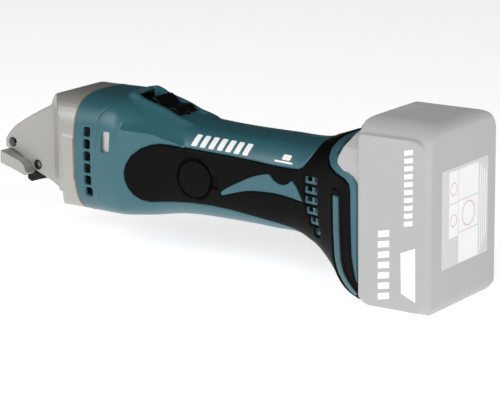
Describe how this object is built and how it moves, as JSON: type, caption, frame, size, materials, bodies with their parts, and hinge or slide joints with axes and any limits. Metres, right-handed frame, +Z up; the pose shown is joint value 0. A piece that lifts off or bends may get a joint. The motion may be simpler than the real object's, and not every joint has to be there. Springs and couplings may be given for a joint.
{
  "type": "cordless sheet metal shear",
  "caption": "Battery powered straight metal shear: barrel body with rubber grip, geared crank, rocking upper blade over a fixed yoke, and a slide-on battery pack",
  "frame": {"origin": "where the motor axis meets the battery's flat rear face", "axes": "+X out of the battery's rear face, blades towards -X; +Z up; -Y is the tool's left side"},
  "size_m": [0.3404, 0.0782, 0.113],
  "materials": {
    "cast_alloy": "silver-grey cast paint",
    "steel": "machined steel",
    "dark_steel": "black oxide steel",
    "blade_steel": "ground tool steel",
    "bearing_steel": "bearing steel",
    "zinc_steel": "zinc plated steel",
    "gasket": "tan seal",
    "ferrite": "ferrite or carbon",
    "copper": "copper",
    "black_plastic": "moulded black",
    "teal_plastic": "fine texture",
    "black_rubber": "soft overmould",
    "pale_plastic": "pale grey",
    "cell_sleeve": "shrink sleeve",
    "board_green": "circuit board",
    "wire_red": "wire insulation"
  },
  "bodies": {
    "tool": {"gear_housing": "cast_alloy", "bearing_plate": "cast_alloy", "plate_screws": "steel", "housing_gasket": "gasket", "yoke": "steel", "yoke_bolt": "dark_steel", "clearance_screw": "dark_steel", "lower_blade": "blade_steel", "lower_blade_bolt": "dark_steel", "lever_pin": "steel", "crank_front_bearing": "bearing_steel", "crank_rear_bearing": "bearing_steel", "motor_front_bearing": "bearing_steel", "motor_rear_bearing": "bearing_steel", "motor_can": "zinc_steel", "motor_magnets": "ferrite", "motor_end_cap": "black_plastic", "brush_holders": "copper", "carbon_brushes": "ferrite", "brush_springs": "steel", "brush_cover_left": "black_plastic", "brush_cover_right": "black_plastic", "housing_left": "teal_plastic", "housing_right": "teal_plastic", "grip_left": "black_rubber", "grip_right": "black_rubber", "housing_screws": "dark_steel", "switch_body": "black_plastic", "controller": "zinc_steel", "terminal_block": "black_plastic", "terminal_blades": "copper", "wires": "wire_red"},
    "rotor": {"motor_shaft": "steel", "pinion": "steel", "armature_core": "steel", "armature_windings": "copper", "commutator": "copper", "fan": "black_plastic"},
    "crank": {"crankshaft": "steel", "crank_gear": "steel", "needle_bearing": "bearing_steel"},
    "lever": {"blade_lever": "steel", "upper_blade": "blade_steel", "upper_blade_bolt": "dark_steel"},
    "switch": {"switch_knob": "black_plastic", "switch_link": "black_plastic"},
    "battery": {"battery_front_case": "pale_plastic", "battery_rear_case": "pale_plastic", "battery_cells": "cell_sleeve", "cell_holder": "black_plastic", "battery_board": "board_green", "battery_contacts": "copper", "battery_screws": "dark_steel", "latch_spring": "steel"},
    "latch": {"latch_button": "pale_plastic"}
  },
  "joints": [
    {"name": "motor_spin", "type": "hinge", "parent": "tool", "child": "rotor", "pos_m": [-0.2, 0, 0], "axis": [1, 0, 0], "continuous": true},
    {"name": "crank_spin", "type": "hinge", "parent": "tool", "child": "crank", "pos_m": [-0.28, 0, -0.018], "axis": [1, 0, 0], "continuous": true},
    {"name": "blade_rock", "type": "hinge", "parent": "tool", "child": "lever", "pos_m": [-0.316, 0, 0.001], "axis": [0, 1, 0], "range_deg": [-4.2, 4.2]},
    {"name": "switch_slide", "type": "slide", "parent": "tool", "child": "switch", "axis": [-1, 0, 0], "range_m": [0, 0.007], "stiffness_N_per_m": 400, "springref_m": -0.004},
    {"name": "battery_slide", "type": "slide", "parent": "tool", "child": "battery", "axis": [0, 0, 1], "range_m": [0, 0.07]},
    {"name": "latch_press", "type": "slide", "parent": "battery", "child": "latch", "axis": [0, 0, -1], "range_m": [0, 0.004], "stiffness_N_per_m": 500, "springref_m": -0.003, "deforming": ["latch_spring"]}
  ],
  "couplings": [
    {"joint": "crank_spin", "follows": "motor_spin", "ratio": -0.25}
  ]
}
